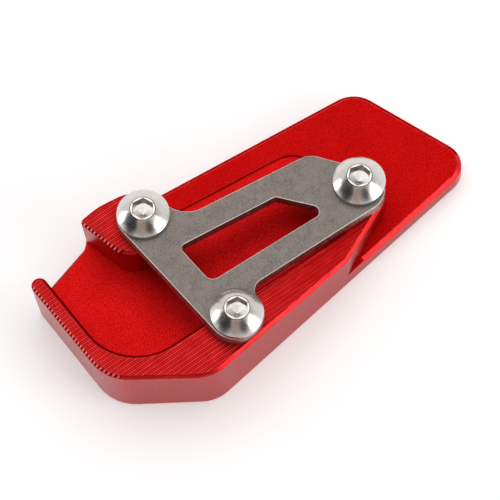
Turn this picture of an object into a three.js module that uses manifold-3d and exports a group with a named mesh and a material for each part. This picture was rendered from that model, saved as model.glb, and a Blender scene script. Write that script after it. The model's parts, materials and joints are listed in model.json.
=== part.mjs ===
// Clamp-on foot enlarger for a motorcycle side stand (kickstand).
// A milled base widens the stand's own foot: the foot lies in the pocket, a clamp
// plate closes over it, and three button head screws pull the plate down.
//
// Millimetres. Outlines are drawn from the base's front right corner, with x along
// the long front edge, y towards the back and z up from the ground. The finished
// assembly is moved so that the middle of its footprint on the ground is the origin.

import * as THREE from "three";
import { mergeVertices } from "three/addons/utils/BufferGeometryUtils.js";
import Module from "manifold-3d";

const wasm = await Module();
wasm.setup();

// ---- Driving dimensions ----

const ARC_STEP = THREE.MathUtils.degToRad(7.5);

// Base: a thin wing with raised walls whose common top is a gently sloping plane.
const WING_HEIGHT = 4.75;
const WING_CHAMFER = 0.85;
const FLOOR_HEIGHT = 4.25;
const TOP_HEIGHT = 15.94;
const TOP_SLOPE = new THREE.Vector2(-0.0888, -0.027);
const TOP_CHAMFER = 0.7;
const GROUND_CHAMFER = 0.4;
const PLAIN_EDGE_END = 40.4;

// Clamp plate and screws, measured square to the sloping top.
const PLATE_THICKNESS = 2.5;
const SEAT_GAP = 0.05;
const LOBE_REACH = 5.1;
const FRONT_LOBE_REACH = 4.75;
const LOBE_RADIUS = 5;
const PLATE_HOLE_RADIUS = 3.2;

// M6 button head screw, 10 mm long, with the proportions of ISO 7380-1.
const HEAD_RADIUS = 5.25;
const HEAD_HEIGHT = 3.3;
const HEAD_RIM = 1;
const HEAD_FLAT_RADIUS = 2.45;
const DOME_TURN = THREE.MathUtils.degToRad(12);
const SHANK_RADIUS = 2.6;
const SHANK_LENGTH = 10;
const SHANK_TIP_CHAMFER = 0.6;
const SOCKET_ACROSS_FLATS = 4;
const SOCKET_DEPTH = 2;
const SOCKET_POINT_DEPTH = 0.7;
const TAPPED_HOLE_RADIUS = 2.85;
const TAPPED_HOLE_DEPTH = 8.6;

// Screw axes on the sloping top, with the turn of each hexagon socket.
const SCREWS = {
  screw_left: { u: 12.6, v: 33.8, turn: 46 },
  screw_right: { u: 48.7, v: 10.05, turn: 36 },
  screw_front: { u: 11.75, v: 5.5, turn: 46 },
};
const { screw_left: LEFT, screw_front: FRONT } = SCREWS;

// Each outline runs counter-clockwise as [x, y, radius] of its corners before rounding.

// Whole footprint: front right, far right, back right, slight swelling of the back edge
// around the boss, open end, hook, front left.
const FOOTPRINT = [
  [0, 0, 8],
  [71.4, 0, 4.9],
  [64.4, 28.345, 6.5],
  [18.2, 39.664, 6],
  [15, 40.916, 6],
  [7.8, 42.68, 12],
  [3.6, 42.61, 1.1],
  [1.8, 41.1, 2],
  [-13.1, 39.014, 1.65],
  [-15.41, 13.65, 9.5],
];

// Raised wall: front right corner, end by the wing, around the right screw, then along
// the pocket to the hook's round tip and back down its outer side.
const RAISED_WALL = [
  [0, 0, 8],
  [35.9, 0, 2.5],
  [53.2, 5.28, 6.2],
  [53.2, 14.9, 4.8],
  [43.3, 14.9, 4.5],
  [43.3, 4.48, 4],
  [-12.24, 11.95, 11.6],
  [-9.8, 39.476, 1.55],
  [-13.1, 39.014, 1.65],
  [-15.41, 13.65, 9.5],
];

// Boss that carries the left screw, standing on the pocket's floor.
const BOSS = [
  [4.55, 29.85, 5],
  [16.9, 27.85, 4.6],
  [16.9, 40.4505, 6],
  [7.8, 42.68, 12],
  [3, 42.6, 1],
];

// Floor of the pocket, sunk a little below the wing. It runs out past the open end, and
// elsewhere it ends inside the walls or in the step behind the clamp plate.
const POCKET_FLOOR = [
  [-12.6, 13.6, 1],
  [-4, 9.3, 1],
  [44.5, 3.4, 0.5],
  [47.6, 8, 1],
  [47.3, 27, 6.2],
  [14, 35.5, 1],
  [10, 45, 1],
  [-11.2, 45, 1],
];

// Clamp plate and its window, on the sloping top.
const PLATE = [
  [6.1, FRONT.v - FRONT_LOBE_REACH, 4.9],
  [17.1, FRONT.v - FRONT_LOBE_REACH, 4.5],
  [17.1, 8.2, 2.6],
  [52.9, 3.2, LOBE_RADIUS],
  [52.9, 13.9, 4],
  [49.5, 15.1, 0.8],
  [45.73, 21.53, 4.5],
  [17.6, 28.33, 6],
  [17.6, LEFT.v + LOBE_REACH, LOBE_RADIUS],
  [7.45, LEFT.v + LOBE_REACH, LOBE_RADIUS],
];
const WINDOW = [
  [12.78, 14.19, 1.8],
  [40.23, 10.01, 1.3],
  [34.44, 19.05, 0.6],
  [13.25, 23.97, 1],
];

// ---- Outlines and lofts ----

const topHeight = (x, y) => TOP_HEIGHT + TOP_SLOPE.x * x + TOP_SLOPE.y * y;

// Points of a rounded outline moved inwards by inset. An arc keeps its centre and its
// number of points at every inset, so two insets of one outline can be joined by a loft.
function roundedOutline(corners, inset = 0) {
  const points = [];
  corners.forEach(([x, y, radius], i) => {
    const corner = new THREE.Vector2(x, y);
    const before = new THREE.Vector2(...corners.at(i - 1));
    const after = new THREE.Vector2(...corners[(i + 1) % corners.length]);
    const angleIn = corner.clone().sub(before).angle();
    const angleOut = after.clone().sub(corner).angle();
    const turn = Math.atan2(Math.sin(angleOut - angleIn), Math.cos(angleOut - angleIn));
    const side = Math.sign(turn);
    const normalAngle = angleIn - Math.PI / 2;
    const middle = normalAngle + turn / 2;
    const reach = (side * radius) / Math.cos(turn / 2);
    const steps = Math.max(2, Math.ceil(Math.abs(turn) / ARC_STEP));
    for (let k = 0; k <= steps; k++) {
      const angle = normalAngle + (turn * k) / steps;
      const arm = side * (radius - side * inset);
      points.push(
        new THREE.Vector2(
          corner.x - reach * Math.cos(middle) + arm * Math.cos(angle),
          corner.y - reach * Math.sin(middle) + arm * Math.sin(angle),
        ),
      );
    }
  });
  return points;
}

function circleOutline(x, y, radius) {
  const count = Math.round((2 * Math.PI) / ARC_STEP);
  return Array.from({ length: count }, (_, k) => {
    const angle = (2 * Math.PI * k) / count;
    return new THREE.Vector2(x + radius * Math.cos(angle), y + radius * Math.sin(angle));
  });
}

// Closed solid through a stack of rings with equal numbers of points, lowest first.
// Each ring is an outline and the height of its points as a function of x and y.
function loft(rings) {
  const count = rings[0].outline.length;
  const positions = rings.flatMap(({ outline, height }) =>
    outline.flatMap(({ x, y }) => [x, y, height(x, y)]),
  );
  const index = [];
  for (let ring = 0; ring + 1 < rings.length; ring++) {
    for (let i = 0; i < count; i++) {
      const a = ring * count + i;
      const b = ring * count + ((i + 1) % count);
      index.push(a, b, b + count, a, b + count, a + count);
    }
  }
  const last = (rings.length - 1) * count;
  for (const [a, b, c] of THREE.ShapeUtils.triangulateShape(rings[0].outline, [])) {
    index.push(c, b, a);
  }
  for (const [a, b, c] of THREE.ShapeUtils.triangulateShape(rings.at(-1).outline, [])) {
    index.push(last + a, last + b, last + c);
  }
  const geometry = new THREE.BufferGeometry();
  geometry.setAttribute("position", new THREE.Float32BufferAttribute(positions, 3));
  geometry.setIndex(index);
  return geometry;
}

// Upright prism with a chamfer around its flat bottom and another around its top.
function chamferedPrism(corners, bottom, bottomChamfer, top, topChamfer) {
  const full = roundedOutline(corners);
  return loft([
    { outline: roundedOutline(corners, bottomChamfer), height: () => bottom },
    { outline: full, height: () => bottom + bottomChamfer },
    { outline: full, height: (x, y) => top(x, y) - topChamfer },
    { outline: roundedOutline(corners, topChamfer), height: top },
  ]);
}

// Raised block whose sides start flush with the wing's side, just below its chamfer.
function raisedBlock(corners) {
  const start = WING_HEIGHT - WING_CHAMFER - TOP_CHAMFER;
  return chamferedPrism(corners, start, TOP_CHAMFER, topHeight, TOP_CHAMFER);
}

// ---- Joining and cutting ----

function solidOf(geometry) {
  const bare = geometry.clone();
  bare.deleteAttribute("normal");
  bare.deleteAttribute("uv");
  const merged = mergeVertices(bare, 1e-4);
  return new wasm.Manifold(
    new wasm.Mesh({
      numProp: 3,
      vertProperties: new Float32Array(merged.attributes.position.array),
      triVerts: new Uint32Array(merged.index.array),
    }),
  );
}

function geometryOf(solid) {
  const { numProp, vertProperties, triVerts } = solid.getMesh();
  const positions = [];
  for (let i = 0; i < vertProperties.length; i += numProp) {
    positions.push(...vertProperties.subarray(i, i + 3));
  }
  const geometry = new THREE.BufferGeometry();
  geometry.setAttribute("position", new THREE.Float32BufferAttribute(positions, 3));
  geometry.setIndex([...triVerts]);
  return geometry;
}

// ---- Pieces ----

// Group whose local z = 0 plane is the sloping top of the raised walls.
const clamping = new THREE.Group();
clamping.position.set(0, 0, TOP_HEIGHT);
clamping.quaternion.setFromUnitVectors(
  new THREE.Vector3(0, 0, 1),
  new THREE.Vector3(-TOP_SLOPE.x, -TOP_SLOPE.y, 1).normalize(),
);
clamping.updateMatrix();

// Cylinder along local z, from low to high, standing at u, v on the sloping top.
function uprightCylinder(radius, low, high, { u, v }, sides = 48) {
  return new THREE.CylinderGeometry(radius, radius, high - low, sides)
    .rotateX(Math.PI / 2)
    .translate(u, v, (low + high) / 2);
}

function baseGeometry() {
  const wing = chamferedPrism(
    FOOTPRINT,
    0,
    GROUND_CHAMFER,
    () => WING_HEIGHT,
    WING_CHAMFER,
  );
  const floorOutline = roundedOutline(POCKET_FLOOR);
  const floorCut = loft([
    { outline: floorOutline, height: () => FLOOR_HEIGHT },
    { outline: floorOutline, height: () => TOP_HEIGHT },
  ]);
  // The wing's chamfer stops short of the raised wall and leaves a square edge there.
  const plainStart = RAISED_WALL[1][0] - 2;
  const plainEdge = new THREE.BoxGeometry(
    PLAIN_EDGE_END - plainStart,
    2 * WING_CHAMFER,
    WING_CHAMFER,
  ).translate(
    (PLAIN_EDGE_END + plainStart) / 2,
    WING_CHAMFER,
    WING_HEIGHT - WING_CHAMFER / 2,
  );
  let solid = solidOf(wing)
    .subtract(solidOf(floorCut))
    .add(solidOf(plainEdge))
    .add(solidOf(raisedBlock(RAISED_WALL)))
    .add(solidOf(raisedBlock(BOSS)));
  for (const place of Object.values(SCREWS)) {
    const hole = uprightCylinder(TAPPED_HOLE_RADIUS, -TAPPED_HOLE_DEPTH, 2, place);
    solid = solid.subtract(solidOf(hole.applyMatrix4(clamping.matrix)));
  }
  return geometryOf(solid);
}

function plateGeometry() {
  const shape = new THREE.Shape(roundedOutline(PLATE));
  shape.holes.push(new THREE.Path(roundedOutline(WINDOW)));
  for (const { u, v } of Object.values(SCREWS)) {
    shape.holes.push(new THREE.Path(circleOutline(u, v, PLATE_HOLE_RADIUS)));
  }
  return new THREE.ExtrudeGeometry(shape, {
    depth: PLATE_THICKNESS,
    bevelEnabled: false,
  }).translate(0, 0, SEAT_GAP);
}

// Half section of the screw, from the tip up the outside to the top of the dome.
function screwProfile() {
  const tip = SHANK_RADIUS - SHANK_TIP_CHAMFER;
  const profile = [
    [0, -SHANK_LENGTH],
    [tip, -SHANK_LENGTH],
    [SHANK_RADIUS, SHANK_TIP_CHAMFER - SHANK_LENGTH],
    [SHANK_RADIUS, 0],
    [HEAD_RADIUS, 0],
  ];
  // The dome is one shallow arc from the rim to the flat around the socket.
  const rim = new THREE.Vector2(HEAD_RADIUS, HEAD_RIM);
  const chord = new THREE.Vector2(HEAD_FLAT_RADIUS, HEAD_HEIGHT).sub(rim);
  const outward = new THREE.Vector2(chord.y, -chord.x).normalize();
  const radius = chord.length() / (2 * Math.sin(DOME_TURN / 2));
  const centre = rim
    .clone()
    .addScaledVector(chord, 0.5)
    .addScaledVector(outward, -radius * Math.cos(DOME_TURN / 2));
  const steps = 4;
  for (let k = 0; k <= steps; k++) {
    const angle = outward.angle() + DOME_TURN * (k / steps - 0.5);
    profile.push([
      centre.x + radius * Math.cos(angle),
      centre.y + radius * Math.sin(angle),
    ]);
  }
  profile.push([0, HEAD_HEIGHT]);
  return profile.map(([r, z]) => new THREE.Vector2(r, z));
}

function screwGeometry(turn) {
  const body = new THREE.LatheGeometry(screwProfile(), 48).rotateX(Math.PI / 2);
  const cornerRadius = SOCKET_ACROSS_FLATS / Math.sqrt(3);
  const angle = THREE.MathUtils.degToRad(turn);
  const socketLow = HEAD_HEIGHT - SOCKET_DEPTH;
  const socket = uprightCylinder(cornerRadius, socketLow, HEAD_HEIGHT + 1, { u: 0, v: 0 }, 6);
  // Corners of a six-sided cylinder start on its local Y axis after the quarter turn.
  socket.rotateZ(angle - Math.PI / 2);
  const drillRadius = SOCKET_ACROSS_FLATS / 2 - 0.05;
  const drillPoint = new THREE.ConeGeometry(drillRadius, SOCKET_POINT_DEPTH, 24)
    .rotateX(-Math.PI / 2)
    .translate(0, 0, socketLow - SOCKET_POINT_DEPTH / 2 + 0.01);
  return geometryOf(solidOf(body).subtract(solidOf(socket)).subtract(solidOf(drillPoint)));
}

// ---- Materials ----

const anodised = () =>
  new THREE.MeshStandardMaterial({ color: 0xc81414, roughness: 0.4, metalness: 0.85 });
const stainlessSheet = () =>
  new THREE.MeshStandardMaterial({ color: 0x857c74, roughness: 0.55, metalness: 0.9 });
const stainlessScrew = () =>
  new THREE.MeshStandardMaterial({ color: 0xc4c0bc, roughness: 0.2, metalness: 1 });

// ---- Assembly ----

function part(name, geometry, material) {
  const mesh = new THREE.Mesh(geometry, material);
  mesh.name = name;
  return mesh;
}

const group = new THREE.Group();
group.add(part("base_plate", baseGeometry(), anodised()));
group.add(clamping);
clamping.add(part("clamp_plate", plateGeometry(), stainlessSheet()));
for (const [name, { u, v, turn }] of Object.entries(SCREWS)) {
  const screw = part(name, screwGeometry(turn), stainlessScrew());
  screw.position.set(u, v, PLATE_THICKNESS + 2 * SEAT_GAP);
  clamping.add(screw);
}

// The middle of the footprint becomes the origin.
const box = new THREE.Box3().setFromObject(group, true);
group.position.set(-(box.min.x + box.max.x) / 2, -(box.min.y + box.max.y) / 2, 0);

export default group;
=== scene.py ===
import json
import math

import bmesh
import bpy
from mathutils import Matrix, Vector


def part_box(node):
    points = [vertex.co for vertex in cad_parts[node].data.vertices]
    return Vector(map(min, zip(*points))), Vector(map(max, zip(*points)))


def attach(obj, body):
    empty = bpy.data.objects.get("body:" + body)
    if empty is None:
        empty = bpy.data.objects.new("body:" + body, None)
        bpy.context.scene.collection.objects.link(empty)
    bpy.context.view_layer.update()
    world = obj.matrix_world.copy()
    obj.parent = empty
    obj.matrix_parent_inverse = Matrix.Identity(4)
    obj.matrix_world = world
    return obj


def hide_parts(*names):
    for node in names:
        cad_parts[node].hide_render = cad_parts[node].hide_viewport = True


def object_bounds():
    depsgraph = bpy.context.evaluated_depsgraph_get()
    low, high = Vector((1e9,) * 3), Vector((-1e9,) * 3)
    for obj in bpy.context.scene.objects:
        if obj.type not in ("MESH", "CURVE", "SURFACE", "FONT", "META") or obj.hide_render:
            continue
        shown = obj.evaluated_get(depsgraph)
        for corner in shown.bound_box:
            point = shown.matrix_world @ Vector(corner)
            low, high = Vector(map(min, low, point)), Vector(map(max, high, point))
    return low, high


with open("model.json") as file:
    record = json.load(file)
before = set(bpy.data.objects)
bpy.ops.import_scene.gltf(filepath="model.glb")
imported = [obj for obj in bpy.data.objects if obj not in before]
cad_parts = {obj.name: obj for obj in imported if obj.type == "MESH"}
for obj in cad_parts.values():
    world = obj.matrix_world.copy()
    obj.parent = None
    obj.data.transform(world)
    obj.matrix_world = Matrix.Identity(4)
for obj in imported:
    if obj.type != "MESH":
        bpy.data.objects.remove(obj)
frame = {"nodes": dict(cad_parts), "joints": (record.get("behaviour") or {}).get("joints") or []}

CAD_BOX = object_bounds()

# Clamp-on foot enlarger for a motorcycle side stand: a red anodised aluminium base,
# a stainless clamp plate and three stainless button head screws.

# ---- Measures, in metres and radians ----

MM = 0.001

# The sloping tops, the plate and the screws all stand square to this direction.
CLAMP_LIFT = next(joint for joint in frame["joints"] if joint["name"] == "clamp_lift")
SLOPE_NORMAL = Vector(CLAMP_LIFT["axis"]).normalized()

# Corners of a CAD solid closer than this are one, and faces flatter than this are one.
WELD_DISTANCE = 0.004 * MM
FLAT_ANGLE = math.radians(0.6)

# Rounding of the machined and the stamped edges, for edges sharper than the angle.
BASE_EDGE = 0.11 * MM
PLATE_EDGE = 0.16 * MM
SHARP_ANGLE = math.radians(25)
# The plate's rounding as shares of it, inwards and down.
PLATE_CORNER = [(1, 0), (0.3, 0.3), (0, 1)]

# Smooth shading stops at edges sharper than these.
PIECE_CREASE = math.radians(38)
SCREW_CREASE = math.radians(35)

# Scallops that the cutter leaves on the sloping tops, running almost along the long side.
GROOVE_PITCH = 0.87 * MM
GROOVE_ANGLE = math.radians(-6)
GROOVE_ALONG = Vector((math.cos(GROOVE_ANGLE), math.sin(GROOVE_ANGLE), 0))
GROOVE_ACROSS = Vector((-math.sin(GROOVE_ANGLE), math.cos(GROOVE_ANGLE), 0))
# Depths at even steps from one sharp ridge to the next.
GROOVE_DEPTHS = [0, 0.032 * MM, 0.046 * MM, 0.05 * MM, 0.046 * MM, 0.032 * MM]
GROOVE_STEP = GROOVE_PITCH / len(GROOVE_DEPTHS)
# A cut snaps to corners this near. A face is cut again if it reaches this share of a
# step past the cut.
CUT_SNAP = 0.0005 * MM
CUT_MARGIN = 0.01
TOP_CHAMFER_DEPTH = 0.71 * MM
# The grooves grow this much deeper where they run out over a chamfer.
EDGE_TEETH = 2.6
# A chamfer facing this squarely along the grooves is crossed by them.
RUN_OUT = 0.52

# How the base's faces are told apart, mostly by the normal's upward share.
SQUARE_TO_SLOPE = 0.9995
LEVEL = 0.999
CHAMFER_LEAN = (0.3, 0.95)
UPRIGHT_LEAN = 0.1
TOP_BAND = 0.05 * MM
POCKET_DROP = 0.2 * MM
WING_MARGIN = 0.01 * MM
# Upright faces no taller than this belong to the step at the back of the pocket.
LOW_STEP = 0.6 * MM
# Chamfers that look this way keep the colour of the tops; the others get a paler copy with a
# painted sheen.
BACK_DIRECTION = Vector((0.55, 0.83, 0))
BACK_SHARE = 0.2
# An upper or lower face of the plate is at least this square to the slope.
PLATE_FACE = 0.9

# M6 button head screw. The flat on the CAD's head is narrower than the lip drawn here.
HEAD_RADIUS = 5.25 * MM
HEAD_HEIGHT = 3.3 * MM
HEAD_RIM = 1.0 * MM
CAD_FLAT_RADIUS = 2.45 * MM
# Rounded foot of the head's rim, as inset and height.
HEAD_FOOT = [(0.12 * MM, 0), (0.03 * MM, 0.04 * MM), (0, 0.12 * MM)]
DOME_TURN = math.radians(17)
DOME_STEPS = 14
LIP_RADIUS = 2.60 * MM
LIP = 0.06 * MM
# Turned groove and flat ring inside the lip, as shares of the lip inwards and down.
LIP_RINGS = [(0.3, 0.6, "groove"), (1.6, 2.6, "groove"), (2.6, 0, "ring")]
SOCKET_APOTHEM = 2.0 * MM
SOCKET_MOUTH = 0.05 * MM
SOCKET_DEPTH = 2.0 * MM
# Drill point in the socket's bottom: the depth of its tip and the rings down to it.
POINT_DEPTH = 0.63 * MM
POINT_RINGS = [0.7, 0.4, 0.15, 0.02]
DRILLED_RADIUS = SOCKET_APOTHEM * 0.95
DRILLED_DROP = 0.03 * MM
THREAD_CREST = 2.75 * MM
THREAD_ROOT = 2.3 * MM
THREAD_PITCH = 1.0 * MM
THREAD_ROWS = 10
# A triangle wave this tall and steep, clipped to 0 to 1, gives flat crests and roots.
RIDGE_TOP = 1.45
RIDGE_SLOPE = 1.9
SHANK_LENGTH = 10 * MM
SHANK_TIP = 0.6 * MM
TIP_RADIUS = THREAD_ROOT * 0.5
PLAIN_NECK = 1.1 * MM
NECK_RADIUS = THREAD_ROOT * 1.06
NECK_FILLET = 0.25 * MM
FILLET_RADIUS = THREAD_ROOT * 1.16
SEGMENTS = 96
# Faces whose corners all lie this near a screw's axis line its hole.
HOLE_REACH = 2.907 * MM

# Each screw's body and the turn of its socket in degrees.
SCREWS = {
    "screw_left": ("left_screw", 46),
    "screw_right": ("right_screw", 36),
    "screw_front": ("front_screw", 46),
}


# ---- Shader building ----

class Shader:
    """A metallic principled material and short calls for the nodes that feed it."""

    def __init__(self, name, **sockets):
        self.material = bpy.data.materials.new(name)
        self.material.use_nodes = True
        self.tree = self.material.node_tree
        self.tree.nodes.clear()
        output = self.tree.nodes.new("ShaderNodeOutputMaterial")
        self.principled = self.tree.nodes.new("ShaderNodeBsdfPrincipled")
        self.tree.links.new(self.principled.outputs["BSDF"], output.inputs["Surface"])
        self.principled.inputs["Metallic"].default_value = 1.0
        for socket, value in sockets.items():
            self.principled.inputs[socket.replace("_", " ")].default_value = value
        self.coordinates = self.tree.nodes.new("ShaderNodeTexCoord").outputs["Object"]

    def feed(self, socket, value):
        """Links a socket to another node's output, or sets its value."""
        if isinstance(value, bpy.types.NodeSocket):
            self.tree.links.new(value, socket)
        else:
            socket.default_value = value

    def node(self, kind, **inputs):
        """A new node with its inputs fed."""
        node = self.tree.nodes.new(kind)
        for key, value in inputs.items():
            self.feed(node.inputs[key.replace("_", " ")], value)
        return node

    def placed(self, turn=0.0, stretch=(1, 1, 1)):
        """Object coordinates turned about z and stretched."""
        turned = self.node("ShaderNodeMapping", Vector=self.coordinates, Rotation=(0, 0, turn))
        stretched = self.node(
            "ShaderNodeMapping", Vector=turned.outputs["Vector"], Scale=stretch
        )
        return stretched.outputs["Vector"]

    def noise(self, size, detail=2.0, rough=0.5, turn=0.0, stretch=(1, 1, 1)):
        """Noise whose features are about `size` metres across."""
        node = self.node(
            "ShaderNodeTexNoise",
            Vector=self.placed(turn, stretch),
            Scale=1 / size,
            Detail=detail,
            Roughness=rough,
        )
        return node.outputs["Fac"]

    def lines(self, pitch, turn=0.0, direction="Y"):
        """Waves of one pitch in a direction, after a turn about z."""
        node = self.node(
            "ShaderNodeTexWave", Vector=self.placed(turn), Scale=math.tau / (20 * pitch)
        )
        node.bands_direction = direction
        return node.outputs["Fac"]

    def between(self, value, low, high, start=0.3, end=0.7):
        """Maps a pattern onto the range from low to high, numbers or colours alike."""
        if isinstance(low, (int, float)):
            node = self.node(
                "ShaderNodeMapRange",
                Value=value,
                **{"From Min": start, "From Max": end, "To Min": low, "To Max": high},
            )
            return node.outputs["Result"]
        node = self.node("ShaderNodeValToRGB", Fac=value)
        for element, place, colour in zip(
            node.color_ramp.elements, (start, end), (low, high)
        ):
            element.position = place
            element.color = (*colour, 1)
        return node.outputs["Color"]

    def math(self, operation, a, b):
        """A sum or product of two values."""
        node = self.tree.nodes.new("ShaderNodeMath")
        node.operation = operation
        self.feed(node.inputs[0], a)
        self.feed(node.inputs[1], b)
        return node.outputs[0]

    def mix_colour(self, factor, a, b):
        """Colour a where the factor is 0 and colour b where it is 1."""
        node = self.tree.nodes.new("ShaderNodeMix")
        node.data_type = "RGBA"
        self.feed(node.inputs["Factor"], factor)
        self.feed(node.inputs["A"], a)
        self.feed(node.inputs["B"], (*b, 1))
        return node.outputs["Result"]

    def finish(self, colour, roughness, bumps):
        """Joins colour, roughness and a chain of (height, strength, distance) bumps."""
        self.feed(self.principled.inputs["Base Color"], colour)
        self.feed(self.principled.inputs["Roughness"], roughness)
        normal = None
        for height, strength, distance in bumps:
            node = self.node(
                "ShaderNodeBump", Height=height, Strength=strength, Distance=distance
            )
            if normal is not None:
                self.feed(node.inputs["Normal"], normal)
            normal = node.outputs["Normal"]
        self.feed(self.principled.inputs["Normal"], normal)
        return self.material


def one_grain(
    name,
    grain,
    dark,
    light,
    dull,
    strength,
    distance=0.02 * MM,
    start=0.3,
    end=0.7,
    **sockets,
):
    """Metal whose colour, roughness and bumps all follow one noise pattern."""
    s = Shader(name, **sockets)
    pattern = s.noise(**grain)
    colour = s.between(pattern, dark, light, start, end)
    return s.finish(colour, s.between(pattern, *dull), [(pattern, strength, distance)])


# ---- Materials of the base ----

def blasted_red(name, dark, light, haze):
    """Bead blasted, red anodised aluminium: an even fine grain."""
    s = Shader(name)
    grain = s.noise(0.30 * MM, detail=3, rough=0.7)
    cloud = s.noise(9 * MM, detail=3)
    speckled = s.between(grain, (dark, 0.0016, 0.0018), (light, haze, haze), 0.36, 0.64)
    colour = s.mix_colour(s.between(cloud, 0.0, 0.2), speckled, (0.44, 0.002, 0.0022))
    rough = s.math("ADD", s.between(grain, 0.0, 0.10), s.between(cloud, 0.40, 0.46))
    return s.finish(colour, rough, [(grain, 0.6, 0.03 * MM)])


def milled_red():
    """Anodised tops, with painted highlights along the sharp ridges that the cutter left."""
    s = Shader("milled_red")
    grain = s.noise(0.26 * MM, detail=2, rough=0.6)
    streaks = s.noise(0.2 * MM, detail=3, turn=-GROOVE_ANGLE, stretch=(0.04, 1, 1))
    highlight_patches = s.noise(2.5 * MM, detail=3)
    waves = s.lines(GROOVE_PITCH, -GROOVE_ANGLE)
    half_waves = s.lines(GROOVE_PITCH / 2, -GROOVE_ANGLE)
    base = s.between(streaks, (0.27, 0.0014, 0.0015), (0.50, 0.005, 0.005), 0.3, 0.7)
    # The painted highlights fade towards the wing.
    split = s.node("ShaderNodeSeparateXYZ", Vector=s.coordinates)
    fade = s.between(split.outputs["X"], 1.0, 0.3, -22 * MM, 12 * MM)
    highlight_strength = s.math("MULTIPLY", s.between(highlight_patches, 0.4, 1.0), fade)
    # Pale lines at half the pitch and bright lines at each ridge are painted highlights of the
    # grooves, in patches.
    fine_highlight_line = s.math("MULTIPLY", s.between(half_waves, 0.9, 0.0, 0.0, 0.25), highlight_strength)
    fine = s.mix_colour(fine_highlight_line, base, (0.80, 0.045, 0.045))
    ridge = s.math("MULTIPLY", s.between(waves, 0.55, 0.0, 0.03, 0.14), highlight_strength)
    colour = s.mix_colour(ridge, fine, (0.95, 0.11, 0.11))
    rough = s.math("ADD", s.between(streaks, 0.0, 0.06), s.between(grain, 0.30, 0.38))
    return s.finish(colour, rough, [(streaks, 0.25, 0.02 * MM), (grain, 0.25, 0.02 * MM)])


def chamfer_red_painted_sheen():
    """Chamfers facing the front: smoother, with marks along the cut, and paler with a whitish
    tint as a painted sheen.
    """
    s = Shader("chamfer_red_painted_sheen")
    grain = s.noise(0.22 * MM, detail=2)
    long_marks = s.noise(0.6 * MM, detail=2, stretch=(0.1, 0.1, 1))
    colour = s.between(long_marks, (0.50, 0.008, 0.009), (0.62, 0.026, 0.028), 0.3, 0.7)
    rough = s.math("ADD", s.between(grain, 0.0, 0.06), s.between(long_marks, 0.24, 0.30))
    return s.finish(colour, rough, [(grain, 0.2, 0.02 * MM)])


def edge_red_and_highlight():
    """Broken edges, where the dyed layer is thin, made paler also as a painted highlight; the
    low step at the back of the pocket takes this as a painted highlight too.
    """
    return one_grain(
        "edge_red_and_highlight",
        grain={"size": 1.6 * MM, "detail": 4, "rough": 0.7},
        dark=(0.44, 0.006, 0.007),
        light=(0.66, 0.05, 0.05),
        dull=(0.26, 0.36),
        strength=0.1,
        start=0.35,
    )


def tapped_red():
    """Thread cut into the screw holes, with painted shade along its roots and painted highlight
    along its crests.
    """
    s = Shader("tapped_red")
    turns = s.lines(THREAD_PITCH, direction="Z")
    grain = s.noise(0.2 * MM, detail=2)
    colour = s.between(turns, (0.16, 0.004, 0.004), (0.62, 0.03, 0.03), 0.2, 0.9)
    return s.finish(colour, s.between(grain, 0.25, 0.4), [(turns, 0.9, 0.25 * MM)])


def ridged_red_painted_light():
    """Chamfers crossed by the grooves: a row of teeth with painted highlights on them and
    painted shade in the gaps between.
    """
    s = Shader("ridged_red_painted_light")
    grain = s.noise(0.22 * MM, detail=2)
    waves = s.lines(GROOVE_PITCH, -GROOVE_ANGLE)
    # The bright teeth are painted highlights and the dark gaps painted shade.
    teeth = s.between(grain, (0.72, 0.11, 0.11), (0.95, 0.20, 0.20), 0.3, 0.7)
    gap_shade = s.between(waves, 0.0, 1.0, 0.30, 0.55)
    colour = s.mix_colour(gap_shade, teeth, (0.24, 0.002, 0.002))
    return s.finish(colour, s.between(grain, 0.30, 0.40), [(grain, 0.2, 0.02 * MM)])


def far_red():
    """Chamfers that face the back, with the same skin as the tops beside them: the darker copy,
    without the painted sheen of the front chamfers, and with a red specular tint.
    """
    return one_grain(
        "far_red",
        grain={"size": 0.30 * MM, "detail": 3, "rough": 0.7},
        dark=(0.34, 0.0014, 0.0016),
        light=(0.46, 0.003, 0.003),
        dull=(0.36, 0.46),
        strength=0.4,
        distance=0.03 * MM,
        start=0.32,
        end=0.68,
        Specular_Tint=(1.0, 0.04, 0.04, 1),
    )


def side_red():
    """Upright sides, milled smooth, with faint upright marks."""
    s = Shader("side_red")
    marks = s.noise(0.5 * MM, detail=3, stretch=(1, 1, 0.08))
    grain = s.noise(0.3 * MM, detail=2)
    colour = s.between(marks, (0.40, 0.003, 0.0035), (0.46, 0.005, 0.0055), 0.3, 0.7)
    rough = s.math("ADD", s.between(grain, 0.0, 0.04), s.between(marks, 0.25, 0.29))
    return s.finish(colour, rough, [(marks, 0.03, 0.01 * MM), (grain, 0.03, 0.01 * MM)])


# ---- Materials of the plate ----

def sheet_steel():
    """Cold rolled stainless sheet with a matt, slightly mottled skin."""
    s = Shader("sheet_steel")
    speck = s.noise(0.30 * MM, detail=3, rough=0.7)
    mottle = s.noise(2.2 * MM, detail=5, rough=0.62)
    rolling = s.noise(0.3 * MM, detail=2, turn=math.radians(24), stretch=(0.06, 1, 1))
    base = s.between(mottle, (0.148, 0.126, 0.111), (0.232, 0.200, 0.178), 0.36, 0.64)
    colour = s.mix_colour(s.between(speck, 0.0, 0.6, 0.42, 0.66), base, (0.38, 0.34, 0.31))
    rough = s.math("ADD", s.between(speck, 0.0, 0.12), s.between(mottle, 0.40, 0.48))
    return s.finish(colour, rough, [(speck, 0.4, 0.03 * MM), (rolling, 0.15, 0.02 * MM)])


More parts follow.
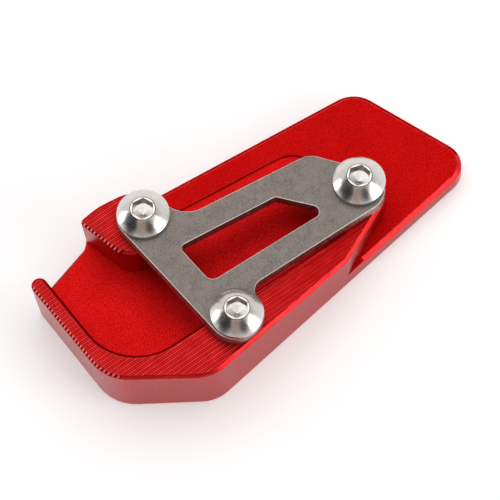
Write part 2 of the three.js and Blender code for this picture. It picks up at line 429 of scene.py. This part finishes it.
def sheet_edge():
    """Sheared sides of the sheet, with upright drag marks."""
    return one_grain(
        "sheet_edge",
        grain={"size": 0.25 * MM, "detail": 3, "stretch": (1, 1, 0.12)},
        dark=(0.26, 0.22, 0.20),
        light=(0.46, 0.41, 0.38),
        dull=(0.32, 0.48),
        strength=0.4,
        distance=0.03 * MM,
    )


def sheet_rim_highlight():
    """Rolled-over rim of the sheet, painted bright as a highlight."""
    return one_grain(
        "sheet_rim_highlight",
        grain={"size": 1.2 * MM, "detail": 4, "rough": 0.7},
        dark=(0.42, 0.38, 0.35),
        light=(0.72, 0.68, 0.64),
        dull=(0.22, 0.36),
        strength=0.1,
    )


# ---- Materials of the screws ----

def polished_steel():
    """Polished stainless head with faint turning rings and hairlines."""
    s = Shader("polished_steel")
    rings = s.node("ShaderNodeTexWave", Vector=s.coordinates, Scale=1 / (1.6 * MM))
    rings.wave_type = "RINGS"
    rings.rings_direction = "Z"
    smudge = s.noise(1.8 * MM, detail=4, rough=0.6)
    scratch = s.noise(0.12 * MM, detail=2, turn=0.7, stretch=(0.08, 1, 1))
    colour = s.between(smudge, (0.60, 0.56, 0.535), (0.72, 0.685, 0.66), 0.3, 0.7)
    rough = s.math("ADD", s.between(smudge, 0.17, 0.23), s.between(scratch, 0.0, 0.05))
    return s.finish(
        colour, rough, [(rings.outputs["Fac"], 0.06, 0.01 * MM), (scratch, 0.08, 0.01 * MM)]
    )


def socket_steel():
    """Walls of the hexagon socket, dulled by broaching."""
    return one_grain(
        "socket_steel",
        grain={"size": 0.12 * MM, "detail": 3, "stretch": (1, 1, 0.1)},
        dark=(0.46, 0.38, 0.32),
        light=(0.66, 0.58, 0.52),
        dull=(0.25, 0.4),
        strength=0.35,
    )


def thread_steel():
    """Rolled thread."""
    return one_grain(
        "thread_steel",
        grain={"size": 0.3 * MM, "detail": 3},
        dark=(0.42, 0.40, 0.38),
        light=(0.58, 0.56, 0.54),
        dull=(0.22, 0.34),
        strength=0.15,
    )


def drilled_steel_lightened():
    """Satin bottom of the socket, left by the drill, lightened as a painted highlight."""
    return one_grain(
        "drilled_steel_lightened",
        grain={"size": 0.3 * MM, "detail": 3},
        dark=(0.68, 0.65, 0.63),
        light=(0.82, 0.79, 0.77),
        dull=(0.22, 0.32),
        strength=0.15,
    )


def faced_steel_highlight():
    """Narrow flat round the socket, painted bright as a highlight."""
    return one_grain(
        "faced_steel_highlight",
        grain={"size": 0.25 * MM, "detail": 3},
        dark=(0.66, 0.64, 0.62),
        light=(0.84, 0.82, 0.80),
        dull=(0.20, 0.32),
        strength=0.2,
    )


def groove_steel_shade():
    """Fine turned groove, painted near black as the shade inside it."""
    return one_grain(
        "groove_steel_shade",
        grain={"size": 0.9 * MM, "detail": 4, "rough": 0.7},
        dark=(0.02, 0.018, 0.016),
        light=(0.20, 0.18, 0.17),
        dull=(0.30, 0.45),
        strength=0.2,
        start=0.35,
        end=0.65,
    )


# ---- Shared by the pieces ----

def add_object(name, data):
    """A new object in the scene."""
    made = bpy.data.objects.new(name, data)
    bpy.context.scene.collection.objects.link(made)
    return made


def slot_numbers(materials):
    """Each part's material number on its mesh."""
    return {part: number for number, part in enumerate(materials)}


def clean_copy(node):
    """bmesh of a CAD node with shared corners and undivided flat faces."""
    bm = bmesh.new()
    bm.from_mesh(frame["nodes"][node].data)
    bmesh.ops.remove_doubles(bm, verts=bm.verts, dist=WELD_DISTANCE)
    bmesh.ops.dissolve_limit(bm, angle_limit=FLAT_ANGLE, verts=bm.verts, edges=bm.edges)
    bm.normal_update()
    return bm


def fill_flat(bm, border, normal, number):
    """Fills closed loops of edges with triangles of one material."""
    filled = bmesh.ops.triangle_fill(bm, edges=border, use_beauty=True, normal=normal)
    for face in filled["geom"]:
        if isinstance(face, bmesh.types.BMFace):
            face.material_index = number


def mesh_from(bm, name, materials, crease):
    """Mesh of a bmesh, shaded smooth up to the crease angle, or flat face by face."""
    bm.faces.index_update()
    flat = [face.index for face in bm.faces if not face.smooth]
    mesh = bpy.data.meshes.new(name)
    bm.to_mesh(mesh)
    bm.free()
    for material in materials.values():
        mesh.materials.append(material)
    mesh.set_sharp_from_angle(angle=crease)
    for index in flat:
        face = mesh.polygons[index]
        face.use_smooth = False
        for corner in face.loop_indices:
            mesh.edges[mesh.loops[corner].edge_index].use_edge_sharp = True
    return mesh


def shade_evenly(piece):
    """Lets large faces stay flat beside their rounded edges."""
    weighted = piece.modifiers.new("even_shading", "WEIGHTED_NORMAL")
    weighted.keep_sharp = True
    weighted.weight = 80


def join_frame(piece, body, node):
    """Puts a piece on its body, in place of its CAD node."""
    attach(piece, body)
    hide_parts(node)


def screw_seat(node):
    """Centre of a head's underside. The node's box is the head's tilted rim and flat."""
    low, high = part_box(node)
    middle = (low + high) / 2
    lean = math.sqrt(1 - SLOPE_NORMAL.z**2)
    seat = middle - SLOPE_NORMAL * (HEAD_RIM / 2)
    seat.z = high.z - HEAD_HEIGHT * SLOPE_NORMAL.z - CAD_FLAT_RADIUS * lean
    return seat


# ---- Base ----

def distance_to_axis(point, seat):
    """Distance from a screw's axis, which stands on its seat."""
    offset = point - seat
    return (offset - SLOPE_NORMAL * offset.dot(SLOPE_NORMAL)).length


def base_part(face, seats, top_level, wing_top):
    """Which surface of the base a face belongs to."""
    centre = face.calc_center_median()
    heights = [v.co.z for v in face.verts]
    upward = face.normal.z
    reach = max(min(distance_to_axis(v.co, s) for s in seats) for v in face.verts)
    if reach < HOLE_REACH:
        return "tapped"
    on_slope = face.normal.dot(SLOPE_NORMAL) > SQUARE_TO_SLOPE
    if on_slope and top_level - centre.dot(SLOPE_NORMAL) < TOP_BAND:
        return "milled"
    if CHAMFER_LEAN[0] < upward < CHAMFER_LEAN[1]:
        # Front chamfers get the copy with the painted sheen, back chamfers the darker copy.
        faces_back = face.normal.dot(BACK_DIRECTION) > BACK_SHARE
        return "far_side" if faces_back else "chamfer"
    if abs(upward) < UPRIGHT_LEAN:
        low_step = max(heights) < wing_top and min(heights) > wing_top - LOW_STEP
        # The low step gets the pale edge material as a painted highlight along it.
        return "edge" if low_step else "upright"
    # The pocket floor gets a lighter copy of the blasted material, painted light against its
    # shade.
    if upward > LEVEL and centre.z < wing_top - POCKET_DROP:
        return "pocket"
    return "blasted"


def break_edges(bm, width, number):
    """Rounds every sharp edge a little and gives the rounding its own material."""
    sharp = [
        e
        for e in bm.edges
        if len(e.link_faces) == 2 and e.is_convex and e.calc_face_angle() > SHARP_ANGLE
    ]
    bmesh.ops.bevel(
        bm,
        geom=sharp,
        offset=width,
        offset_type="OFFSET",
        segments=2,
        profile=0.5,
        affect="EDGES",
        clamp_overlap=False,
        material=number,
    )
    # A mitre of the rounding never stands proud of the solid.
    low, high = CAD_BOX
    for v in bm.verts:
        for axis in range(2):
            v.co[axis] = min(max(v.co[axis], low[axis]), high[axis])
    bm.normal_update()


def cut_at_steps(bm, faces):
    """Cuts faces along the grooves at each step of the scallops' depth."""
    spans = [v.co.dot(GROOVE_ACROSS) for f in faces for v in f.verts]
    first = math.floor(min(spans) / GROOVE_STEP)
    last = math.ceil(max(spans) / GROOVE_STEP)
    for k in range(first, last + 1):
        # Each element once and in a fixed order, unlike in a set.
        edges = dict.fromkeys(e for f in faces for e in f.edges)
        verts = dict.fromkeys(v for f in faces for v in f.verts)
        cut = bmesh.ops.bisect_plane(
            bm,
            geom=[*verts, *edges, *faces],
            dist=CUT_SNAP,
            plane_co=GROOVE_ACROSS * (k * GROOVE_STEP),
            plane_no=GROOVE_ACROSS,
        )
        past = (k + CUT_MARGIN) * GROOVE_STEP
        faces = [
            g
            for g in cut["geom"]
            if isinstance(g, bmesh.types.BMFace)
            and max(v.co.dot(GROOVE_ACROSS) for v in g.verts) > past
        ]


def scallop_depth(point):
    """Depth of the scallops at a point, in a straight line between two steps."""
    place = point.dot(GROOVE_ACROSS) / GROOVE_STEP
    before = math.floor(place)
    first = GROOVE_DEPTHS[before % len(GROOVE_DEPTHS)]
    second = GROOVE_DEPTHS[(before + 1) % len(GROOVE_DEPTHS)]
    return first + (second - first) * (place - before)


def add_scallops(bm, top_level, slots):
    """Cuts the tops and their chamfers along the grooves and lowers the cuts to scallops."""

    def depth(point):
        return top_level - point.dot(SLOPE_NORMAL)

    def tops_and_chamfers():
        return [
            f for f in bm.faces if all(depth(v.co) < TOP_CHAMFER_DEPTH for v in f.verts)
        ]

    # The flat tops are filled again with triangles, which divide cleanly.
    tops = [f for f in bm.faces if f.material_index == slots["milled"]]
    bmesh.ops.delete(bm, geom=tops, context="FACES_ONLY")
    border = [e for e in bm.edges if e.is_boundary]
    fill_flat(bm, border, SLOPE_NORMAL, slots["milled"])
    bmesh.ops.triangulate(bm, faces=tops_and_chamfers())
    cut_at_steps(bm, tops_and_chamfers())
    lowered = set()
    for face in tops_and_chamfers():
        crossed = face.normal.dot(GROOVE_ALONG) < -RUN_OUT
        if face.material_index == slots["chamfer"] and crossed:
            face.material_index = slots["ridged"]
        grooved = face.material_index in (slots["milled"], slots["ridged"])
        if grooved or face.normal.dot(SLOPE_NORMAL) > SQUARE_TO_SLOPE:
            lowered.update(face.verts)
        if grooved:
            face.smooth = False
    for v in lowered:
        teeth = 1 + EDGE_TEETH * min(1, depth(v.co) / TOP_CHAMFER_DEPTH)
        v.co -= SLOPE_NORMAL * scallop_depth(v.co) * teeth
    bm.normal_update()


def make_base():
    """Milled base with broken edges and grooved tops."""
    materials = {
        "blasted": blasted_red("blasted_red", 0.33, 0.68, 0.007),
        "milled": milled_red(),
        "chamfer": chamfer_red_painted_sheen(),
        "edge": edge_red_and_highlight(),
        "tapped": tapped_red(),
        "ridged": ridged_red_painted_light(),
        "far_side": far_red(),
        "upright": side_red(),
        # Lighter, hazier copy of the blasted red: painted light that lifts the pocket floor's
        # shade.
        "pocket": blasted_red("pocket_red_lightened", 0.46, 0.84, 0.016),
    }
    slots = slot_numbers(materials)
    seats = [screw_seat(node) for node in SCREWS]
    bm = clean_copy("base_plate")
    top_level = max(v.co.dot(SLOPE_NORMAL) for v in bm.verts)
    level_faces = [f for f in bm.faces if f.normal.z > LEVEL]
    wing_top = max(f.calc_center_median().z for f in level_faces) + WING_MARGIN
    for face in bm.faces:
        face.smooth = True
        face.material_index = slots[base_part(face, seats, top_level, wing_top)]
    break_edges(bm, BASE_EDGE, slots["edge"])
    add_scallops(bm, top_level, slots)
    bmesh.ops.dissolve_degenerate(bm, dist=CUT_SNAP, edges=bm.edges)
    mesh = mesh_from(bm, "anodised_base", materials, PIECE_CREASE)
    piece = add_object("anodised_base", mesh)
    shade_evenly(piece)
    join_frame(piece, "base", "base_plate")


# ---- Plate ----

def directed_rims(bm):
    """Closed loops of points round the plate's upper face, with the metal on their left."""
    following = {}
    for face in bm.faces:
        if face.normal.dot(SLOPE_NORMAL) < PLATE_FACE:
            continue
        for corner in face.loops:
            neighbour = corner.link_loop_radial_next.face
            if neighbour.normal.dot(SLOPE_NORMAL) < PLATE_FACE:
                following[corner.vert] = corner.link_loop_next.vert
    loops = []
    while following:
        vert = next(iter(following))
        loop = []
        while vert in following:
            loop.append(vert.co.copy())
            vert = following.pop(vert)
        loops.append(loop)
    return loops


def moved_into_metal(loop, distance, drop):
    """The loop moved sideways into the metal and down along the slope's normal."""
    moved = []
    for k, point in enumerate(loop):
        before = (point - loop[k - 1]).normalized()
        after = (loop[(k + 1) % len(loop)] - point).normalized()
        left = SLOPE_NORMAL.cross(before)
        next_left = SLOPE_NORMAL.cross(after)
        mitre = (left + next_left) / (1 + left.dot(next_left))
        moved.append(point + mitre * distance - SLOPE_NORMAL * drop)
    return moved


def make_plate():
    """Sheet with a rounded rim, lofted from the solid's own outline, window and holes."""
    materials = {"skin": sheet_steel(), "side": sheet_edge(), "rim": sheet_rim_highlight()}
    slots = slot_numbers(materials)
    solid = clean_copy("clamp_plate")
    levels = [v.co.dot(SLOPE_NORMAL) for v in solid.verts]
    thickness = max(levels) - min(levels)
    middle = sum(levels) / len(levels)
    profile = [(inset * PLATE_EDGE, drop * PLATE_EDGE) for inset, drop in PLATE_CORNER]
    profile += [(inset, thickness - drop) for inset, drop in reversed(profile)]
    parts = ["rim", "rim", "side", "rim", "rim"]
    bm = bmesh.new()
    for loop in directed_rims(solid):
        made = [
            [bm.verts.new(p) for p in moved_into_metal(loop, inset, drop)]
            for inset, drop in profile
        ]
        for upper, lower, part in zip(made, made[1:], parts):
            for k in range(len(loop)):
                after = (k + 1) % len(loop)
                face = bm.faces.new((upper[k], lower[k], lower[after], upper[after]))
                face.material_index = slots[part]
    solid.free()
    for top, normal in ((True, SLOPE_NORMAL), (False, -SLOPE_NORMAL)):
        border = [
            e
            for e in bm.edges
            if e.is_boundary and (e.verts[0].co.dot(SLOPE_NORMAL) > middle) == top
        ]
        fill_flat(bm, border, normal, slots["skin"])
    bmesh.ops.recalc_face_normals(bm, faces=bm.faces)
    for face in bm.faces:
        face.smooth = True
    mesh = mesh_from(bm, "steel_clamp", materials, PIECE_CREASE)
    piece = add_object("steel_clamp", mesh)
    shade_evenly(piece)
    join_frame(piece, "clamp", "clamp_plate")


# ---- Screws ----

def ring_points(radii, height):
    """Points round the screw's axis, one for each radius."""
    return [
        Vector((radius * math.cos(a), radius * math.sin(a), height))
        for a, radius in ((math.tau * k / SEGMENTS, r) for k, r in enumerate(radii))
    ]


def circle(radius, height):
    """Round ring."""
    return ring_points([radius] * SEGMENTS, height)


def hexagon(apothem, height):
    """Ring with as many points as a circle, laid along a hexagon."""
    sixth = math.tau / 6
    angles = [math.tau * k / SEGMENTS for k in range(SEGMENTS)]
    radii = [apothem / math.cos((a % sixth) - sixth / 2) for a in angles]
    return ring_points(radii, height)


def thread_ring(height):
    """Ring of the thread: its radius follows the helix and fades at the tip and neck."""
    fade = min(1, max(0, (-PLAIN_NECK - height) / THREAD_PITCH))
    limit = THREAD_CREST - max(0, SHANK_TIP - SHANK_LENGTH - height)
    radii = []
    for k in range(SEGMENTS):
        phase = (height / THREAD_PITCH - k / SEGMENTS) % 1.0
        ridge = min(1, max(0, RIDGE_TOP - abs(2 * phase - 1) * RIDGE_SLOPE))
        threaded = THREAD_ROOT + (THREAD_CREST - THREAD_ROOT) * ridge
        radii.append(min(threaded * fade + NECK_RADIUS * (1 - fade), limit))
    return ring_points(radii, height)


def dome_rings():
    """The dome is one arc from the rim to the lip, steeper towards the rim."""
    start = Vector((HEAD_RADIUS, HEAD_RIM))
    end = Vector((LIP_RADIUS + LIP / 3, HEAD_HEIGHT - LIP))
    chord = end - start
    radius = chord.length / (2 * math.sin(DOME_TURN / 2))
    outward = Vector((chord.y, -chord.x)).normalized()
    centre = (start + end) / 2 - outward * radius * math.cos(DOME_TURN / 2)
    rings = []
    for k in range(DOME_STEPS + 1):
        a = math.atan2(outward.y, outward.x) + DOME_TURN * (k / DOME_STEPS - 0.5)
        place = centre + Vector((math.cos(a), math.sin(a))) * radius
        rings.append(circle(place.x, place.y))
    return rings


def screw_rings():
    """Rings from the tip up the outside and down the socket, with the part each starts."""
    rings = [(circle(TIP_RADIUS, -SHANK_LENGTH), "thread")]
    rows = round((SHANK_LENGTH - PLAIN_NECK / 2) / (THREAD_PITCH / THREAD_ROWS))
    for k in range(rows + 1):
        height = k * THREAD_PITCH / THREAD_ROWS - SHANK_LENGTH
        rings.append((thread_ring(height), "thread"))
    rings.append((circle(NECK_RADIUS, -NECK_FILLET), "thread"))
    rings.append((circle(FILLET_RADIUS, 0), "head"))
    for inset, height in HEAD_FOOT:
        rings.append((circle(HEAD_RADIUS - inset, height), "head"))
    rings += [(ring, "head") for ring in dome_rings()]
    for inset, drop, part in LIP_RINGS:
        rings.append((circle(LIP_RADIUS - LIP * inset, HEAD_HEIGHT - LIP * drop), part))
    rings.append((hexagon(SOCKET_APOTHEM + SOCKET_MOUTH, HEAD_HEIGHT), "socket"))
    rings.append((hexagon(SOCKET_APOTHEM, HEAD_HEIGHT - SOCKET_MOUTH), "socket"))
    bottom = HEAD_HEIGHT - SOCKET_DEPTH
    rings.append((hexagon(SOCKET_APOTHEM, bottom), "bottom"))
    rings.append((circle(DRILLED_RADIUS, bottom - DRILLED_DROP), "bottom"))
    for share in POINT_RINGS:
        depth = POINT_DEPTH * (1 - share)
        rings.append((circle(SOCKET_APOTHEM * share, bottom - depth), "bottom"))
    return rings


def make_screw(node, body, turn, materials):
    """One screw, lofted from its rings and set on its seat."""
    slots = slot_numbers(materials)
    bm = bmesh.new()
    rings = [([bm.verts.new(p) for p in points], part) for points, part in screw_rings()]
    for (lower, part), (upper, _) in zip(rings, rings[1:]):
        for k in range(SEGMENTS):
            after = (k + 1) % SEGMENTS
            face = bm.faces.new((lower[k], lower[after], upper[after], upper[k]))
            face.material_index = slots[part]
    bm.faces.new(rings[0][0][::-1]).material_index = slots["thread"]
    bm.faces.new(rings[-1][0]).material_index = slots["bottom"]
    for face in bm.faces:
        face.smooth = True
    bm.normal_update()
    upright = Vector((0, 0, 1)).rotation_difference(SLOPE_NORMAL).to_matrix().to_4x4()
    turned = Matrix.Rotation(math.radians(turn), 4, "Z")
    bm.transform(upright @ turned)
    name = node + "_detailed"
    piece = add_object(name, mesh_from(bm, name, materials, SCREW_CREASE))
    piece.location = screw_seat(node)
    join_frame(piece, body, node)


# ---- Stage ----

FLOOR_REACH = 3.0
FLOOR_DROP = 0.05 * MM
FLOOR_LOOK = {
    "Base Color": (0.93, 0.93, 0.93, 1),
    "Roughness": 0.9,
    "Specular IOR Level": 0.2,
    "Emission Color": (1, 1, 1, 1),
    "Emission Strength": 0.29,
}

# Brightness of the surroundings, by the upward share of the direction.
STUDIO_SHADES = [(0.0, 0.95), (0.32, 0.88), (0.46, 0.45), (0.62, 0.42), (0.80, 0.70)]
# Stands and drapes in front of the part, as (direction, outer and inner reach, colour).
STUDIO_PATCHES = [
    ((-0.80, 0.10, 0.58), 0.91, 0.95, (0.015, 0.015, 0.015)),
    ((-0.66, 0.50, 0.54), 0.94, 0.97, (0.05, 0.05, 0.05)),
    ((-0.50, -0.52, 0.68), 0.93, 0.965, (0.42, 0.31, 0.25)),
    ((-0.13, -0.78, 0.62), 0.955, 0.975, (0.03, 0.03, 0.03)),
]

# The camera's aim, distance, angles and lens, fitted to the photo.
CAMERA_AIM = Vector((-1.08, -2.26, 0)) * MM
CAMERA_DISTANCE = 605.3 * MM
CAMERA_HEADING = math.radians(33.70)
CAMERA_ELEVATION = math.radians(69.27)
CAMERA_ROLL = math.radians(-9.74)
CAMERA_LENS = 216
CAMERA_SENSOR = 36
CAMERA_CLIP = (0.01, 20)


def make_floor():
    """Plain pale floor just under the base."""
    mesh = bpy.data.meshes.new("studio_floor")
    corners = [
        (x * FLOOR_REACH, y * FLOOR_REACH, -FLOOR_DROP)
        for x, y in ((-1, -1), (1, -1), (1, 1), (-1, 1))
    ]
    mesh.from_pydata(corners, [], [(0, 1, 2, 3)])
    floor = add_object("studio_floor", mesh)
    material = bpy.data.materials.new("pale_floor")
    material.use_nodes = True
    shader = material.node_tree.nodes["Principled BSDF"]
    for socket, value in FLOOR_LOOK.items():
        shader.inputs[socket].default_value = value
    mesh.materials.append(material)


def soft_light(name, direction, distance, width, height, power):
    """Rectangular softbox that faces the object."""
    data = bpy.data.lights.new(name, "AREA")
    data.shape = "RECTANGLE"
    data.size = width
    data.size_y = height
    data.energy = power
    light = add_object(name, data)
    place = Vector(direction).normalized() * distance
    light.location = place
    light.rotation_mode = "QUATERNION"
    light.rotation_quaternion = place.to_track_quat("Z", "Y")


def make_world():
    """Studio surroundings: pale low down, mid grey above, with dark and warm patches."""
    world = bpy.data.worlds.new("studio")
    world.use_nodes = True
    tree = world.node_tree
    direction = tree.nodes.new("ShaderNodeTexCoord").outputs["Generated"]
    split = tree.nodes.new("ShaderNodeSeparateXYZ")
    tree.links.new(direction, split.inputs[0])
    ramp = tree.nodes.new("ShaderNodeValToRGB")
    tree.links.new(split.outputs["Z"], ramp.inputs["Fac"])
    elements = ramp.color_ramp.elements
    elements.remove(elements[1])
    elements[0].color = (*[STUDIO_SHADES[0][1]] * 3, 1)
    for place, shade in STUDIO_SHADES[1:]:
        elements.new(place).color = (shade, shade, shade, 1)
    colour = ramp.outputs["Color"]
    for aim, outer, inner, tint in STUDIO_PATCHES:
        toward = tree.nodes.new("ShaderNodeVectorMath")
        toward.operation = "DOT_PRODUCT"
        tree.links.new(direction, toward.inputs[0])
        toward.inputs[1].default_value = Vector(aim).normalized()
        reach = tree.nodes.new("ShaderNodeMapRange")
        reach.inputs["From Min"].default_value = outer
        reach.inputs["From Max"].default_value = inner
        tree.links.new(toward.outputs["Value"], reach.inputs["Value"])
        mix = tree.nodes.new("ShaderNodeMix")
        mix.data_type = "RGBA"
        tree.links.new(reach.outputs["Result"], mix.inputs["Factor"])
        tree.links.new(colour, mix.inputs["A"])
        mix.inputs["B"].default_value = (*tint, 1)
        colour = mix.outputs["Result"]
    tree.links.new(colour, tree.nodes["Background"].inputs["Color"])
    bpy.context.scene.world = world


def make_lights():
    """Surroundings and three softboxes: above, to the front right and to the left."""
    make_world()
    soft_light(
        "overhead", (0.25, 0.35, 1.0), distance=1.2, width=1.3, height=1.3, power=4.0
    )
    soft_light(
        "front_right", (0.42, -0.80, 0.36), distance=1.3, width=0.80, height=0.55, power=4.6
    )
    soft_light("left", (-0.60, 0.77, 0.22), distance=1.3, width=0.50, height=0.32, power=1.8)


def make_camera():
    """Long lens above the part, looking steeply down with a slight roll."""
    back = Vector(
        (
            -math.sin(CAMERA_HEADING) * math.cos(CAMERA_ELEVATION),
            -math.cos(CAMERA_HEADING) * math.cos(CAMERA_ELEVATION),
            math.sin(CAMERA_ELEVATION),
        )
    )
    level = Vector((0, 0, 1)).cross(back).normalized()
    right = level * math.cos(CAMERA_ROLL) + back.cross(level) * math.sin(CAMERA_ROLL)
    up = back.cross(right)
    data = bpy.data.cameras.new("camera")
    data.lens = CAMERA_LENS
    data.sensor_width = CAMERA_SENSOR
    data.clip_start, data.clip_end = CAMERA_CLIP
    camera = add_object("camera", data)
    rotation = Matrix((right, up, back)).transposed().to_4x4()
    place = Matrix.Translation(CAMERA_AIM + back * CAMERA_DISTANCE)
    camera.matrix_world = place @ rotation
    bpy.context.scene.camera = camera


# ---- Assembly ----

bpy.context.scene.view_settings.view_transform = "Standard"

make_camera()
make_floor()
make_lights()
make_base()
make_plate()

screw_materials = {
    "head": polished_steel(),
    "socket": socket_steel(),
    "thread": thread_steel(),
    "bottom": drilled_steel_lightened(),
    "ring": faced_steel_highlight(),
    "groove": groove_steel_shade(),
}
for node, (body, turn) in SCREWS.items():
    make_screw(node, body, turn, screw_materials)

bpy.context.view_layer.update()
